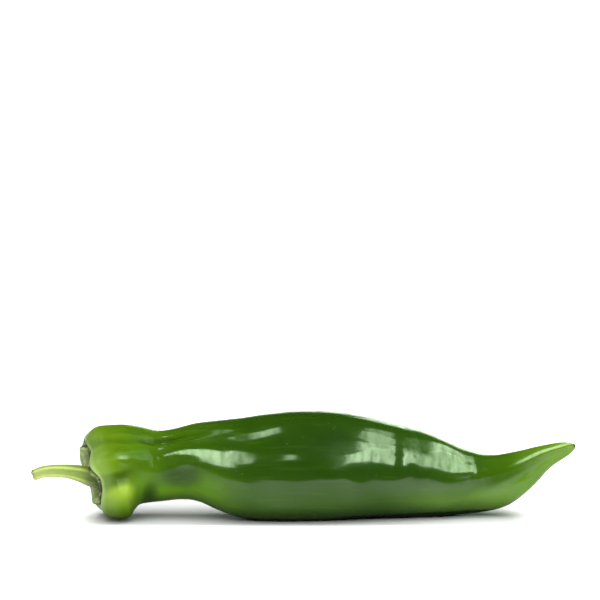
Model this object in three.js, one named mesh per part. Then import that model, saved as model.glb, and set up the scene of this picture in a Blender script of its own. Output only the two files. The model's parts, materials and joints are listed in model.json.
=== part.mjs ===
// An Italian frying pepper, as picked, lying on its side: the fruit, its calyx and its stem.
// Millimetres, +Z up. The fruit runs along X, from the stem end at -X to the blossom tip at +X.
// -Y is its front. The table top is Z = 0, and the origin is there, under the middle of the pepper.
import * as THREE from "three";

// Driving dimensions
const STEM_CUT_X = -90.4; // centre of the stem's cut end
const RIM_X = -70.6; // the crest of the shoulder, which stands round the calyx
const TIP_X = 90.9; // end of the blossom tip
const TIP_ROUND = 5.5; // length over which the tip rounds off

// The fruit's centre line: how far back it lies, and how high, along X
const CENTRE_BACK = [
  [-73, -3.9],
  [-62, -0.4],
  [-50, 1.4],
  [-36, 0.7],
  [-18, -1.3],
  [4, -1.1],
  [20, 1.2],
  [36, 3.5],
  [47, 4.7],
  [56, 5.3],
  [64, 4.0],
  [72, 2.9],
  [80, 3.0],
  [91, 4.4],
];
const CENTRE_HEIGHT = [
  [-73, 14.0],
  [-66, 15.9],
  [-60, 16.9],
  [-54, 16.9],
  [-49, 17.0],
  [-43, 17.8],
  [-36, 18.6],
  [-28, 18.2],
  [-21, 17.6],
  [-14, 17.5],
  [-5, 18.05],
  [5, 18.1],
  [15, 17.6],
  [25, 16.4],
  [37, 14.7],
  [47, 12.7],
  [54, 12.1],
  [60, 12.1],
  [66, 13.3],
  [74, 17.2],
  [80, 20.3],
  [86, 22.4],
  [91, 23.6],
];
// The fruit's radius along X, from the shoulder to the start of the rounded tip
const GIRTH = [
  [-63, 13.2],
  [-55, 12.6],
  [-48, 11.9],
  [-42, 12.2],
  [-35, 13.5],
  [-28, 15.2],
  [-21, 16.8],
  [-14, 17.8],
  [-5, 18.4],
  [5, 18.4],
  [15, 17.7],
  [25, 16.4],
  [37, 14.8],
  [45, 13.2],
  [54, 11.2],
  [60, 9.8],
  [66, 8.5],
  [72, 6.7],
  [80, 4.0],
  [85, 2.9],
  [91, 1.9],
];
// The stem end, from the bottom of the hollow, up its wall, over the crest and down the shoulder:
// [x, radius]
const HOLLOW = [
  [-64.2, 0],
  [-64.5, 3.2],
  [-65.6, 6.2],
  [-67.9, 8.6],
  [-70.0, 10.2],
  [RIM_X, 11.7],
  [-69.5, 13.0],
  [-66.4, 13.7],
  [-63, 13.2],
];
const CREST = 5; // the place of the crest in HOLLOW

// Lobes of the shoulder. Angles are round the centre line, from the front (0) over the top (90)
// to the back (180).
// ahead and behind are how far a lobe reaches from its middle, towards the hollow and towards the tip.
const LOBES = [
  { angle: 80, spread: 52, height: 2.1, middle: 6, ahead: 8, behind: 24 },
  { angle: 22, spread: 30, height: 2.8, middle: 4, ahead: 13, behind: 18 },
  { angle: -56, spread: 54, height: 4.7, middle: 8, ahead: 13.5, behind: 9 },
  { angle: -132, spread: 50, height: 3.2, middle: 6.5, ahead: 12, behind: 13 },
  { angle: 158, spread: 48, height: 2.9, middle: 5, ahead: 11, behind: 16 },
];
// Ridges, and furrows with a negative relief, that run down the neck from the lobes and from between them
const FOLDS = [
  { angle: 50, width: 13, relief: -1.2, from: -66, to: -30 },
  { angle: 30, width: 22, relief: 0.8, from: -64, to: -16 },
  { angle: -16, width: 42, relief: -1.0, from: -58, to: -24 },
  { angle: 118, width: 16, relief: -1.0, from: -66, to: -20 },
  { angle: -97, width: 15, relief: -0.8, from: -65, to: -34 },
  { angle: 193, width: 18, relief: -1.1, from: -66, to: -12 },
];
// Shallow dents in the wall of the body, and ridges, which have a negative depth
const DENTS = [
  { x: -53, angle: -46, depth: 0.9, length: 5.5, width: 50 },
  { x: 7, angle: 34, depth: 0.55, length: 11, width: 40 },
  { x: -19, angle: 58, depth: 0.45, length: 12, width: 34 },
  { x: 31, angle: 22, depth: -0.3, length: 13, width: 60 },
  { x: 30, angle: 26, depth: -0.5, length: 5, width: 55 },
  { x: 55, angle: 62, depth: 0.35, length: 12, width: 50 },
  { x: -4, angle: 146, depth: 0.8, length: 20, width: 40 },
  { x: 38, angle: 196, depth: 0.7, length: 16, width: 44 },
  { x: -28, angle: 232, depth: 0.6, length: 14, width: 40 },
];
// The section is three-sided, faintly in the body and plainly at the tip. The depth is a share of
// the radius, and it grows along X until it is full.
const SIDE_COUNT = 3;
const SIDES = [
  { depth: 0.035, ridge: 50, from: -44, full: -18 },
  { depth: 0.13, ridge: 44, from: 48, full: 67 },
];
const TURN = 5; // the sections follow the bends of the centre line over this much either way

const CALYX_GAP = 0.3; // clear of the fruit
const CALYX_THICK = 1.3;
const CALYX_EDGE_THICK = 0.9;
const CALYX_REACH = 3.95; // margin between two teeth, as a place in HOLLOW
// The calyx's teeth, and how much further than the margin each one reaches
const TEETH = [
  { angle: 8, further: 0.75 },
  { angle: 62, further: 0.45 },
  { angle: 121, further: 0.7 },
  { angle: 186, further: 0.5 },
  { angle: 243, further: 0.65 },
  { angle: 304, further: 0.55 },
];
const TOOTH_WIDTH = 21; // degrees from a tooth's middle to where it has narrowed
const COLLAR_RADIUS = 4.6; // the calyx's flat middle, which carries the stem
const COLLAR_X = -67.4;
const COLLAR_DROP = 1.8; // how far the collar sits below the centre line

const STEM_GAP = 0.3; // clear of the collar
// The stem's centre line and radius, from the collar to the cut: [x, y, z, radius]
const STEM = [
  [-69.4, -3.1, 13.9, 3.7],
  [-71.6, -3.7, 14.2, 3.3],
  [-74.5, -4.4, 15.2, 2.85],
  [-78.5, -5.2, 16.1, 2.35],
  [-83, -5.8, 16.5, 2.1],
  [-87, -6.1, 16.2, 1.9],
  [STEM_CUT_X, -6.2, 15.0, 1.8],
];
const STEM_ROOT_RADIUS = 4.2;
const STEM_RIBS = 5;
const STEM_RIB_DEPTH = 0.07; // share of the radius

// How finely the surfaces are cut into faces
const NECK_END_X = -36; // the rings lie close together up to here, and further apart beyond
const ROUND = 64;
const HOLLOW_STEPS = 14;
const SHOULDER_STEP = 1.7;
const BODY_STEP = 4.4;
const TIP_RINGS = 6;
const CALYX_RINGS = 7;
const COLLAR_RINGS = 3; // the collar covers this many of them
const STEM_ROUND = 30;
const STEM_RINGS = 18;

const rad = THREE.MathUtils.degToRad;

// A smooth line through pairs of [x, value], straight beyond its ends.
function through(pairs, x) {
  const last = pairs.length - 1;
  const slope = (i) => {
    const [xa, va] = pairs[Math.max(i - 1, 0)];
    const [xb, vb] = pairs[Math.min(i + 1, last)];
    return (vb - va) / (xb - xa);
  };
  if (x <= pairs[0][0]) return pairs[0][1] + slope(0) * (x - pairs[0][0]);
  if (x >= pairs[last][0]) return pairs[last][1] + slope(last) * (x - pairs[last][0]);
  const i = pairs.findIndex((pair) => pair[0] > x) - 1;
  const [x0, v0] = pairs[i];
  const [x1, v1] = pairs[i + 1];
  const span = x1 - x0;
  const t = (x - x0) / span;
  const rise = t * t * (3 - 2 * t);
  return (
    v0 + (v1 - v0) * rise + span * t * (1 - t) * (slope(i) * (1 - t) - slope(i + 1) * t)
  );
}

// 1 at zero, falling smoothly to 0 at one and beyond.
function hump(t) {
  return Math.abs(t) < 1 ? 0.5 + 0.5 * Math.cos(Math.PI * t) : 0;
}

// The difference of two angles in degrees, from -180 to 180.
function turn(a, b) {
  return THREE.MathUtils.euclideanModulo(a - b + 180, 360) - 180;
}

// The centre line at x, with its direction and the two axes of the section there.
function sectionAt(x) {
  const at = (u) => new THREE.Vector3(u, through(CENTRE_BACK, u), through(CENTRE_HEIGHT, u));
  const along = at(x + TURN).sub(at(x - TURN)).normalize();
  const front = new THREE.Vector3(0, -1, 0).projectOnPlane(along).normalize();
  const up = new THREE.Vector3().crossVectors(front, along);
  return { centre: at(x), along, front, up };
}

const hollowCurve = new THREE.SplineCurve(HOLLOW.map(([x, r]) => new THREE.Vector2(x, r)));
const shoulderX = HOLLOW[HOLLOW.length - 1][0];

// A point of the fruit's outline, by its place: first along the hollow, then 1 mm of x for each 1.
function outline(place) {
  const end = HOLLOW.length - 1;
  if (place <= end) return hollowCurve.getPoint(place / end);
  const x = Math.min(shoulderX + place - end, TIP_X);
  const into = Math.max(0, (x - (TIP_X - TIP_ROUND)) / TIP_ROUND);
  return new THREE.Vector2(x, through(GIRTH, x) * Math.sqrt(Math.max(0, 1 - into * into)));
}

// How far a place lies past the crest, along the outline: negative in the hollow.
function pastCrest(place) {
  const steps = 24;
  let walked = 0;
  let from = outline(CREST);
  for (let i = 1; i <= steps; i++) {
    const to = outline(CREST + ((place - CREST) * i) / steps);
    walked += to.distanceTo(from);
    from = to;
  }
  return place < CREST ? -walked : walked;
}

// The lobes' relief at an angle, at a distance past the crest.
function lobes(angle, past) {
  return LOBES.reduce((sum, lobe) => {
    const reach = past < lobe.middle ? lobe.ahead : lobe.behind;
    const around = hump(turn(angle, lobe.angle) / lobe.spread);
    return sum + lobe.height * around * hump((past - lobe.middle) / reach);
  }, 0);
}

// What folds, dents and the section's sides add to the radius or take from it.
function waist(x, radius, angle) {
  let change = 0;
  for (const f of FOLDS) {
    const middle = (f.from + f.to) / 2;
    const along = hump((x - middle) / (f.to - middle));
    change += f.relief * along * hump(turn(angle, f.angle) / f.width);
  }
  for (const d of DENTS) {
    change -= d.depth * hump((x - d.x) / d.length) * hump(turn(angle, d.angle) / d.width);
  }
  for (const s of SIDES) {
    const along = THREE.MathUtils.smoothstep(x, s.from, s.full);
    change += s.depth * radius * along * Math.cos(rad(SIDE_COUNT * (angle - s.ridge)));
  }
  return change;
}

// A point of the fruit's skin, or lifted off it, by its place along the outline and its angle.
function skinPoint(place, angle, lift = 0) {
  const here = outline(place);
  const ahead = outline(place + 0.05);
  const before = outline(Math.max(place - 0.05, 0));
  const run = ahead.sub(before).normalize();
  const out = lobes(angle, pastCrest(place)) + lift;
  const { centre, along, front, up } = sectionAt(here.x);
  const isTip = here.x >= TIP_X;
  const radius = here.y + run.x * out + (here.y > 1 ? waist(here.x, here.y, angle) : 0);
  const spoke = front.multiplyScalar(Math.cos(rad(angle)));
  spoke.addScaledVector(up, Math.sin(rad(angle)));
  const shift = isTip ? 0 : -run.y * out;
  return centre.addScaledVector(along, shift).addScaledVector(spoke, here.y > 0 ? radius : 0);
}

// Rings of points as one closed skin. A ring of a single point closes an end.
function loft(rings) {
  const positions = [];
  const starts = rings.map((ring) => {
    const start = positions.length / 3;
    ring.forEach((p) => positions.push(p.x, p.y, p.z));
    return start;
  });
  const index = [];
  for (let i = 0; i < rings.length - 1; i++) {
    const [a, b] = [rings[i], rings[i + 1]];
    const count = Math.max(a.length, b.length);
    for (let k = 0; k < count; k++) {
      const next = (k + 1) % count;
      const at = (ring, which, j) => starts[which] + (ring.length === 1 ? 0 : j);
      const [a0, a1] = [at(a, i, k), at(a, i, next)];
      const [b0, b1] = [at(b, i + 1, k), at(b, i + 1, next)];
      if (a0 !== a1) index.push(a0, b0, a1);
      if (b0 !== b1) index.push(a1, b0, b1);
    }
  }
  const geometry = new THREE.BufferGeometry();
  geometry.setAttribute("position", new THREE.Float32BufferAttribute(positions, 3));
  geometry.setIndex(index);
  geometry.computeVertexNormals();
  return geometry;
}

function ring(count, pointAt) {
  return Array.from({ length: count }, (_, k) => pointAt((360 * k) / count));
}

// The fruit: one skin from the bottom of the hollow to the tip, pressed flat where it meets the table.
function fruit() {
  const last = HOLLOW.length - 1;
  const places = [];
  for (let i = 1; i <= HOLLOW_STEPS; i++) places.push((last * i) / HOLLOW_STEPS);
  const spanTo = (x) => last + x - shoulderX;
  const neck = spanTo(NECK_END_X);
  const tipStart = spanTo(TIP_X - TIP_ROUND);
  const fine = Math.round((neck - last) / SHOULDER_STEP);
  for (let i = 1; i <= fine; i++) places.push(last + ((neck - last) * i) / fine);
  const coarse = Math.round((tipStart - neck) / BODY_STEP);
  for (let i = 1; i <= coarse; i++) places.push(neck + ((tipStart - neck) * i) / coarse);
  for (let i = 1; i < TIP_RINGS; i++) {
    places.push(tipStart + TIP_ROUND * Math.sin((Math.PI / 2) * (i / TIP_RINGS)));
  }
  const rings = places.map((place) => ring(ROUND, (angle) => skinPoint(place, angle)));
  rings.unshift([skinPoint(0, 0)]);
  rings.push([skinPoint(spanTo(TIP_X), 0)]);
  rings.flat().forEach((p) => (p.z = Math.max(p.z, 0)));
  return loft(rings);
}

// Where the stem meets the calyx.
function collarSection() {
  const section = sectionAt(COLLAR_X);
  section.centre.addScaledVector(section.up, -COLLAR_DROP);
  return section;
}

// The calyx: a toothed dish that lines the hollow, with a raised collar in its middle.
function calyx() {
  const margin = (angle) =>
    TEETH.reduce((reach, tooth) => {
      const apart = turn(angle, tooth.angle) / TOOTH_WIDTH;
      return reach + tooth.further / (1 + apart ** 2) ** 1.5;
    }, CALYX_REACH);
  const dish = (share, lift) =>
    ring(ROUND, (angle) => skinPoint(share * margin(angle), angle, lift));
  const { centre, front, up } = collarSection();
  const collar = ring(ROUND, (angle) => {
    const spoke = front.clone().multiplyScalar(COLLAR_RADIUS * Math.cos(rad(angle)));
    return spoke.addScaledVector(up, COLLAR_RADIUS * Math.sin(rad(angle))).add(centre);
  });
  const over = [];
  const under = [];
  for (let i = 1; i <= CALYX_RINGS; i++) {
    const share = i / CALYX_RINGS;
    const thick = THREE.MathUtils.lerp(CALYX_THICK, CALYX_EDGE_THICK, share);
    if (i > COLLAR_RINGS) over.push(dish(share, CALYX_GAP + thick));
    under.unshift(dish(share, CALYX_GAP));
  }
  return loft([[centre], collar, ...over, ...under, [skinPoint(0, 0, CALYX_GAP)]]);
}

// The stem: ribbed, flared at the collar and bent, with a flat cut end.
function stem() {
  const { centre, along, up } = collarSection();
  const root = centre.addScaledVector(along, -STEM_GAP);
  const points = [root, ...STEM.map(([x, y, z]) => new THREE.Vector3(x, y, z))];
  const radii = [STEM_ROOT_RADIUS, ...STEM.map((row) => row[3])];
  const line = new THREE.CatmullRomCurve3(points, false, "centripetal");
  const radiusAt = new THREE.SplineCurve(radii.map((r, i) => new THREE.Vector2(i, r)));
  const section = (t) => {
    const middle = line.getPoint(t);
    const ahead = t === 0 ? along.clone().negate() : line.getTangent(t);
    const side = up.clone().projectOnPlane(ahead).normalize();
    const cross = new THREE.Vector3().crossVectors(side, ahead);
    const radius = radiusAt.getPoint(t).y;
    return ring(STEM_ROUND, (angle) => {
      const rib = 1 + STEM_RIB_DEPTH * Math.cos(rad(angle * STEM_RIBS));
      const spoke = side.clone().multiplyScalar(rib * radius * Math.cos(rad(angle)));
      spoke.addScaledVector(cross, rib * radius * Math.sin(rad(angle)));
      return spoke.add(middle);
    });
  };
  const rings = [];
  for (let i = 0; i <= STEM_RINGS; i++) rings.push(section(i / STEM_RINGS));
  return loft([[root], ...rings, [line.getPoint(1)]]);
}

function piece(name, geometry, color, roughness) {
  const material = new THREE.MeshStandardMaterial({ color, roughness, metalness: 0 });
  const mesh = new THREE.Mesh(geometry, material);
  mesh.name = name;
  return mesh;
}

const pepper = new THREE.Group();
pepper.add(piece("fruit", fruit(), 0x3f7a14, 0.22));
pepper.add(piece("calyx", calyx(), 0x76833f, 0.75));
pepper.add(piece("stem", stem(), 0xa9c24e, 0.55));

export default pepper;
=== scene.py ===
# %% [markdown]
# # A frying pepper on a white table
#
# This file dresses one long green frying pepper for a product picture. The solid model of it is
# already made and is loaded as a fixed frame: it says how big everything is and where it goes.
# What is added here is what the eye wants: a smooth skin with its lobes, folds and ripples, a dry
# wrinkled calyx, a ribbed stem, finishes for all three, and studio light.
#
# Lengths in the tables are millimetres, as a grower would measure them. Blender works in metres,
# so everything is turned into metres at the moment it becomes a mesh.

# %% Load the frame
import json
import math

import bpy
import numpy as np
from mathutils import Matrix, Vector

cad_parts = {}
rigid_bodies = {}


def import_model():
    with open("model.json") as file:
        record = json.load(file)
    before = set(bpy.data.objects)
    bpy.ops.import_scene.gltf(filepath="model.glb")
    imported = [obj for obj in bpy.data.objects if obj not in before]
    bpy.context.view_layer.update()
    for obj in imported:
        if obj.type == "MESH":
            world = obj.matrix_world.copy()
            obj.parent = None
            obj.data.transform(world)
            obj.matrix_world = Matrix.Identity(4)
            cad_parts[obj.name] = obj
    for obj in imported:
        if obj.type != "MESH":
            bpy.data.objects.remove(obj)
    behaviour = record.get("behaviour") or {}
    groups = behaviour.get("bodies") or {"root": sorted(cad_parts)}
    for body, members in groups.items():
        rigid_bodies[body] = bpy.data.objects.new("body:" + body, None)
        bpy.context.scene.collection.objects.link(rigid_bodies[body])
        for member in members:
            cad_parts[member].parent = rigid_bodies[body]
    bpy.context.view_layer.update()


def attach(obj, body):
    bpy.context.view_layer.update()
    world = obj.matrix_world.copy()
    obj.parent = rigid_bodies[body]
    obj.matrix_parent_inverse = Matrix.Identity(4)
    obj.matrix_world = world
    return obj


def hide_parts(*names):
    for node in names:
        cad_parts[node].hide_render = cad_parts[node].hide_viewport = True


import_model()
MM = 0.001
scene = bpy.context.scene

# %% [markdown]
# ## The camera
#
# The picture was taken from low down with a long lens, so the pepper shows hardly any perspective
# and is seen from its side. A 100 mm lens half a metre away, pitched down by 2.4 degrees, gives that view.

# %% Set up the camera
EYE = Vector((-0.002, -0.5551, 0.0962))
AIM = Vector((-0.002, 0.0, 0.0729))
camera = bpy.data.objects.new("camera", bpy.data.cameras.new("camera"))
camera.data.lens = 100
camera.data.sensor_width = 36
camera.location = EYE
camera.rotation_euler = (AIM - EYE).to_track_quat("-Z", "Y").to_euler()
scene.collection.objects.link(camera)
scene.camera = camera
print("camera distance, mm:", round((AIM - EYE).length / MM))

# %% [markdown]
# ## Sums on node sockets
#
# Both the shapes and the finishes below are worked out by node trees. Wiring Math nodes by hand is
# slow to write and hard to read, so one small class stands for a socket: adding or multiplying two
# of them adds the Math node. Anything else is made by its one method `node`, which takes the
# node's type, its settings and the values or links of its inputs.

# %% Write the class for sockets
class Wire:
    """One output of a node tree, which can be reckoned with as if it were a number."""

    def __init__(self, tree, socket=None):
        self.tree, self.socket = tree, socket

    def node(self, kind, settings={}, values={}, out=0):
        """Adds a node. Settings come first, since they decide which sockets it has."""
        made = self.tree.nodes.new(kind)
        for name, value in settings.items():
            if name == "stops":
                set_stops(made.color_ramp, value)
            else:
                setattr(made, name, value)
        for name, value in values.items():
            socket = pick(made.inputs, name)
            if isinstance(value, Wire):
                self.tree.links.new(value.socket, socket)
            else:
                socket.default_value = value
        return Wire(self.tree, pick(made.outputs, out))

    def sum(self, operation, *terms):
        """The result of one Math node."""
        return self.node("ShaderNodeMath", {"operation": operation}, dict(enumerate(terms)))

    def __add__(self, other):
        return self.sum("ADD", self, other)

    def __sub__(self, other):
        return self.sum("SUBTRACT", self, other)

    def __rsub__(self, other):
        return self.sum("SUBTRACT", other, self)

    def __mul__(self, other):
        return self.sum("MULTIPLY", self, other)

    def __truediv__(self, other):
        return self.sum("DIVIDE", self, other)

    def __rtruediv__(self, other):
        return self.sum("DIVIDE", other, self)

    __radd__ = __add__
    __rmul__ = __mul__

    def cos(self):
        return self.sum("COSINE", self)

    def at_least(self, low):
        return self.sum("MAXIMUM", self, low)

    def at_most(self, high):
        return self.sum("MINIMUM", self, high)

    def rise(self, low, high, start=0.0, end=1.0):
        """A smooth step from start to end as the value goes from low to high."""
        ranges = {"From Min": low, "From Max": high, "To Min": start, "To Max": end}
        return self.node(
            "ShaderNodeMapRange", {"interpolation_type": "SMOOTHSTEP"}, {"Value": self, **ranges}
        )

    def between(self, start, full, last, end):
        """1 from full to last, and falling smoothly to 0 at start and at end."""
        return self.rise(start, full) * self.rise(end, last)

    def part(self, axis):
        """One component of a vector."""
        return self.node("ShaderNodeSeparateXYZ", {}, {0: self}, axis)

    def scaled(self, by):
        """A vector times a number."""
        return self.node("ShaderNodeVectorMath", {"operation": "SCALE"}, {0: self, "Scale": by})

    def plus(self, other):
        """A vector plus a vector."""
        return self.node("ShaderNodeVectorMath", {"operation": "ADD"}, {0: self, 1: other})

    def times(self, other):
        """A vector times a vector, component by component."""
        return self.node("ShaderNodeVectorMath", {"operation": "MULTIPLY"}, {0: self, 1: other})

    def mix(self, first, second):
        """Goes from the first colour to the second as this value goes from 0 to 1."""
        colours = {"Factor": self, "A": first, "B": second}
        return self.node("ShaderNodeMix", {"data_type": "RGBA"}, colours, "Result")

    def ramp(self, *stops):
        """A colour for this value, from stops that each give a place from 0 to 1 and a colour."""
        return self.node("ShaderNodeValToRGB", {"stops": stops}, {"Fac": self}, "Color")


def pick(sockets, name):
    """A socket by its number or by its name; a node can hold hidden ones of the same name."""
    if isinstance(name, int):
        return sockets[name]
    return next(s for s in sockets if s.name == name and s.enabled)


def set_stops(ramp, stops):
    """Gives a colour ramp its stops, each a place from 0 to 1 and a colour."""
    while len(ramp.elements) < len(stops):
        ramp.elements.new(0.5)
    for element, (place, colour) in zip(ramp.elements, stops):
        element.position = place
        element.color = (*colour, 1)


print("a wire can:", [name for name in vars(Wire) if not name.startswith("_")])

# %% [markdown]
# ## The pod's backbone
#
# A pepper grows along a line and swells round it. So the pod is described by three curves along
# its length: how far back its middle lies, how high it lies, and how thick it is. Between the
# measured stations the curves run smoothly. The stem end is different, because the skin turns
# over a crest there and goes down into a hollow, so it has a table of its own.

# %% Describe the pod along its length
CENTRE_BACK = [
    (-73, -3.9), (-62, -0.4), (-50, 1.4), (-36, 0.7), (-18, -1.3), (4, -1.1),
    (20, 1.2), (36, 3.5), (47, 4.7), (56, 5.3), (64, 4.0), (72, 2.9), (80, 3.0), (91, 4.4),
]
CENTRE_HEIGHT = [
    (-73, 14.0), (-66, 15.9), (-60, 16.9), (-54, 16.9), (-49, 17.0), (-43, 17.8),
    (-36, 18.6), (-28, 18.2), (-21, 17.6), (-14, 17.5), (-5, 18.05), (5, 18.1),
    (15, 17.6), (25, 16.4), (37, 14.7), (47, 12.7), (54, 12.1), (60, 12.1),
    (66, 13.3), (74, 17.2), (80, 20.3), (86, 22.4), (91, 23.6),
]
GIRTH = [
    (-63, 13.2), (-55, 12.6), (-48, 11.9), (-42, 12.2), (-35, 13.5), (-28, 15.2),
    (-21, 16.8), (-14, 17.8), (-5, 18.4), (5, 18.4), (15, 17.7), (25, 16.4),
    (37, 14.8), (45, 13.2), (54, 11.2), (60, 9.8), (66, 8.5), (72, 6.7),
    (80, 4.0), (85, 2.9), (91, 1.9),
]
# From the bottom of the hollow, up its wall, over the crest and down the shoulder: x, radius
HOLLOW = [
    (-64.2, 0), (-64.5, 3.2), (-65.6, 6.2), (-67.9, 8.6), (-70.0, 10.2),
    (-70.6, 11.7), (-69.5, 13.0), (-66.4, 13.7), (-63, 13.2),
]
CREST = 5  # the place of the crest in HOLLOW
SHOULDER = len(HOLLOW) - 1  # the place where the shoulder ends and GIRTH takes over
TIP_X = 90.9
TIP_ROUND = 5.5
TURN = 5.0  # the sections follow the bends of the backbone over this much either way


def through(stations, x):
    """A smooth line through pairs of x and value, straight beyond its ends."""
    xs, values = np.array(stations, float).T
    slopes = np.gradient(values, xs)
    slopes[1:-1] = (values[2:] - values[:-2]) / (xs[2:] - xs[:-2])
    i = np.clip(np.searchsorted(xs, x, "right") - 1, 0, len(xs) - 2)
    span = xs[i + 1] - xs[i]
    t = np.clip((x - xs[i]) / span, 0, 1)
    bend = slopes[i] * (1 - t) - slopes[i + 1] * t
    inside = values[i] + (values[i + 1] - values[i]) * t * t * (3 - 2 * t) + span * t * (1 - t) * bend
    beyond = x - np.clip(x, xs[0], xs[-1])
    return inside + beyond * np.where(beyond < 0, slopes[0], slopes[-1])


def outline(place):
    """x and radius at a place: first along the hollow's table, then 1 mm of x for each 1."""
    place = np.asarray(place, float)
    down = np.clip(place, 0, SHOULDER)
    x = np.minimum(HOLLOW[-1][0] + place - SHOULDER, TIP_X)
    into = np.clip((x - TIP_X + TIP_ROUND) / TIP_ROUND, 0, 1)
    hollow_x = through([(i, station[0]) for i, station in enumerate(HOLLOW)], down)
    hollow_radius = through([(i, station[1]) for i, station in enumerate(HOLLOW)], down)
    radius = through(GIRTH, x) * np.sqrt(1 - into**2)
    in_hollow = place < SHOULDER
    return np.where(in_hollow, hollow_x, x), np.where(in_hollow, hollow_radius, radius)


def place_at(x):
    """The place along the outline of an x beyond the shoulder."""
    return SHOULDER + x - HOLLOW[-1][0]


print("pod length, mm:", round(TIP_X - HOLLOW[CREST][0], 1), "thickest at:", max(GIRTH, key=lambda g: g[1]))

# %% [markdown]
# ## From curves to a skin
#
# Every point of the skin is found from its place along the outline and its angle round the middle.
# The angle is 0 at the front, 90 on top and 180 at the back. At each place the section stands
# square to the backbone, so the pod bends without creasing. The plain mesh made here has no
# lobes yet. Each point only remembers what the shaping step needs: its angle, how far past
# the crest it lies, and which way is outwards.

# %% Find points of the smooth skin
WALK = np.linspace(0, place_at(TIP_X), 20001)
walk_x, walk_radius = outline(WALK)
walked = np.concatenate([[0], np.cumsum(np.hypot(np.diff(walk_x), np.diff(walk_radius)))])
walked -= np.interp(CREST, WALK, walked)


def section_at(x):
    """The middle of the pod at x, its direction and the section's two axes, front and up."""
    def middle(u):
        return np.stack([u, through(CENTRE_BACK, u), through(CENTRE_HEIGHT, u)], axis=-1)

    x = np.asarray(x, float)
    along = unit(middle(x + TURN) - middle(x - TURN))
    ahead = np.array([0.0, -1.0, 0.0])
    front = unit(ahead - along * (along @ ahead)[..., None])
    return middle(x), along, front, np.cross(front, along)


def unit(vectors):
    """The same directions at length 1."""
    return vectors / np.linalg.norm(vectors, axis=-1, keepdims=True)


def smooth_skin(places, angles, lift=0.0):
    """Rows of points, one row for each place, and what each point has to know."""
    x, radius = outline(places)
    x_after, radius_after = outline(places + 0.05)
    x_before, radius_before = outline(np.maximum(places - 0.05, 0))
    run = unit(np.stack([x_after - x_before, radius_after - radius_before], axis=-1))
    middle, along, front, up = section_at(x)
    turned = np.radians(angles)[..., None]
    spoke = front[:, None] * np.cos(turned) + up[:, None] * np.sin(turned)
    tip = (x >= TIP_X)[:, None, None]
    outward = np.where(tip, 0, -run[:, 1, None, None] * along[:, None]) + run[:, 0, None, None] * spoke
    points = middle[:, None] + spoke * radius[:, None, None] + outward * lift
    whole = np.ones(spoke.shape[:2])
    ray, girth = turned[..., 0], radius[:, None]
    straight = np.stack([x[:, None] * whole, girth * np.cos(ray), girth * np.sin(ray)], axis=-1)
    facts = {
        "angle": angles * whole,
        "past": np.interp(places, WALK, walked)[:, None] * whole,
        "station": x[:, None] * whole,
        "girth": girth * whole,
        "outward": outward,
        "spoke": spoke,
        "straight": straight,
    }
    return points, facts


def loft(name, rows, facts):
    """A closed mesh through rows of points. The first and last rows close into single points."""
    count, around = rows.shape[:2]
    keep = np.concatenate([[0], np.arange(around, (count - 1) * around), [(count - 1) * around]])
    ring = 1 + np.arange((count - 2) * around).reshape(count - 2, around)
    after = np.roll(ring, -1, axis=1)
    walls = np.stack([ring[:-1], ring[1:], after[1:], after[:-1]], axis=-1).reshape(-1, 4)
    last = 1 + ring.size
    caps = [(0, a, b) for a, b in zip(ring[0], after[0])]
    caps += [(last, b, a) for a, b in zip(ring[-1], after[-1])]
    mesh = bpy.data.meshes.new(name)
    points = rows.reshape(-1, 3)[keep] * MM
    mesh.from_pydata(points.tolist(), [], walls.tolist() + [list(map(int, cap)) for cap in caps])
    for fact, values in facts.items():
        kind = "FLOAT_VECTOR" if values.ndim == 3 else "FLOAT"
        flat = values.reshape(count * around, -1)[keep].astype(np.float32).ravel()
        layer = mesh.attributes.new(fact, kind, "POINT")
        layer.data.foreach_set("vector" if values.ndim == 3 else "value", flat)
    obj = bpy.data.objects.new(name, mesh)
    scene.collection.objects.link(obj)
    return obj


AROUND = 240  # points in each row
angles = np.arange(AROUND) * 360 / AROUND
# the rows lie closest in the hollow and on the neck, where the skin bends most
pod_places = np.concatenate([
    np.linspace(0, SHOULDER, 74),
    np.linspace(place_at(-63), place_at(-36), 78)[1:],
    np.linspace(place_at(-36), place_at(TIP_X - TIP_ROUND), 198)[1:],
    place_at(TIP_X - TIP_ROUND) + TIP_ROUND * np.sin(np.linspace(0, math.pi / 2, 15))[1:],
])
pod = loft("fruit_skin", *smooth_skin(pod_places, angles))
print("plain pod:", len(pod_places), "rows of", AROUND, "points")

# %% [markdown]
# ## Running a shaping tree
#
# The lobes and folds follow a rule over the surface, so Geometry Nodes shape them. A tree gets
# named inputs for its sizes, the modifier's inputs are set by their identifiers before the
# object is first evaluated, and the result is taken back as a plain mesh, so that the
# modifier can go.

# %% Write the helpers for shaping trees
def new_shaping(name, inputs):
    """A geometry tree with named number inputs; gives the tree, the geometry and the inputs."""
    tree = bpy.data.node_groups.new(name, "GeometryNodeTree")
    tree.interface.new_socket("Geometry", in_out="INPUT", socket_type="NodeSocketGeometry")
    tree.interface.new_socket("Geometry", in_out="OUTPUT", socket_type="NodeSocketGeometry")
    for label, value in inputs.items():
        kind = "NodeSocketMaterial" if label == "Finish" else "NodeSocketFloat"
        socket = tree.interface.new_socket(label, in_out="INPUT", socket_type=kind)
        if kind == "NodeSocketFloat":
            socket.default_value = value
    entry = tree.nodes.new("NodeGroupInput")
    wires = {socket.name: Wire(tree, socket) for socket in entry.outputs if socket.name}
    return tree, wires


def fact(wires, name, kind="FLOAT"):
    """Reads what each point was told about itself."""
    start = wires["Geometry"]
    return start.node("GeometryNodeInputNamedAttribute", {"data_type": kind}, {"Name": name}, "Attribute")


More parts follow.
